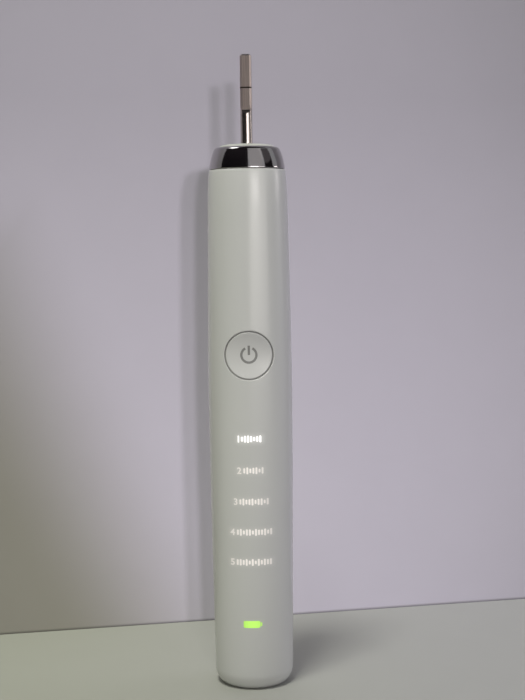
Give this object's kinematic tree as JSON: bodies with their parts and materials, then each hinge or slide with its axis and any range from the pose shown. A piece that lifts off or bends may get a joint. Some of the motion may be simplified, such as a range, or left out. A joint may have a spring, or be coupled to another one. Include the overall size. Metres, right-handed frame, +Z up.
{
  "type": "electric toothbrush handle",
  "caption": "Slim upright electric toothbrush handle with a round dished button, lit mode signs, metal-look collar and a bare oscillating drive shaft.",
  "frame": {"origin": "centre of the resting face under the foot", "axes": "+Z up along the barrel and the shaft, -Y towards the button, +X to the right seen from the front"},
  "size_m": [0.0276, 0.0276, 0.2068],
  "materials": {
    "barrel": "satin translucent white",
    "collar": "polished, dark nickel tone",
    "seal": "matte white elastomer",
    "end_cap": "fine matte white",
    "seal_ring": "matte black",
    "button": "satin white",
    "diaphragm": "matte grey elastomer",
    "switch_body": "matte black",
    "switch_stem": "matte orange",
    "mask_film": "matte black film",
    "light_box": "matte bright white",
    "mode_lamp": "clear lens over a warm lamp",
    "battery_lamp": "clear lens over a green lamp",
    "board": "green solder mask",
    "chip": "moulded black epoxy",
    "board_part": "ceramic and epoxy bodies",
    "chassis": "moulded grey-white",
    "cell": "shrink sleeve over the can",
    "washer": "pressed fibre board",
    "cushion": "black foam",
    "tab": "bright nickel strip",
    "bobbin": "moulded black",
    "winding": "enamelled copper wire",
    "ferrite": "sintered dark grey",
    "coil_lead": "red insulation",
    "motor_frame": "glass-filled dark grey",
    "laminations": "stacked laminations",
    "former": "moulded cream",
    "motor_lead": "blue insulation",
    "screw": "zinc plated",
    "shaft": "polished rod with milled flats",
    "yoke": "turned mild steel",
    "magnet": "nickel plated",
    "hub": "sintered steel",
    "spring_bar": "ground spring steel",
    "clamp": "die cast",
    "bush": "sintered bronze",
    "damper": "black elastomer"
  },
  "bodies": {
    "handle": {"housing_shell": "barrel", "collar_ring": "collar", "shaft_seal": "seal", "end_cap": "end_cap", "end_cap_ring": "seal_ring", "button_diaphragm": "diaphragm", "tact_switch": "switch_body", "mask_film": "mask_film", "light_box": "light_box", "mode_lamps": "mode_lamp", "battery_lamp": "battery_lamp", "main_board": "board", "control_chip": "chip", "board_parts": "board_part", "chassis": "chassis", "battery_cell": "cell", "cell_washer": "washer", "cell_cushion": "cushion", "cell_tabs": "tab", "coil_bobbin": "bobbin", "charging_coil": "winding", "ferrite_core": "ferrite", "coil_leads": "coil_lead", "motor_frame": "motor_frame", "stator_core": "laminations", "coil_former": "former", "motor_coil": "winding", "motor_leads": "motor_lead", "frame_screws": "screw", "torsion_bars": "spring_bar", "spring_clamp": "clamp", "front_bush": "bush", "rear_bush": "bush", "damper_ring": "damper"},
    "shaft": {"drive_shaft": "shaft", "armature_yoke": "yoke", "rotor_magnets": "magnet", "spring_hub": "hub"},
    "button": {"power_button": "button"},
    "switch": {"switch_stem": "switch_stem"}
  },
  "joints": [
    {"name": "shaft_swing", "type": "hinge", "parent": "handle", "child": "shaft", "pos_m": [0, 0, 0.15], "axis": [0, 0, 1], "range_deg": [-5.5, 5.5], "stiffness_Nm_per_rad": 0.02, "deforming": ["torsion_bars"]},
    {"name": "button_press", "type": "slide", "parent": "handle", "child": "button", "axis": [0, 1, 0], "range_m": [0, 0.0004], "stiffness_N_per_m": 3000, "deforming": ["button_diaphragm"]},
    {"name": "switch_press", "type": "slide", "parent": "handle", "child": "switch", "axis": [0, 1, 0], "range_m": [0, 0.0004]}
  ],
  "couplings": [
    {"joint": "switch_press", "follows": "button_press", "ratio": 1}
  ]
}
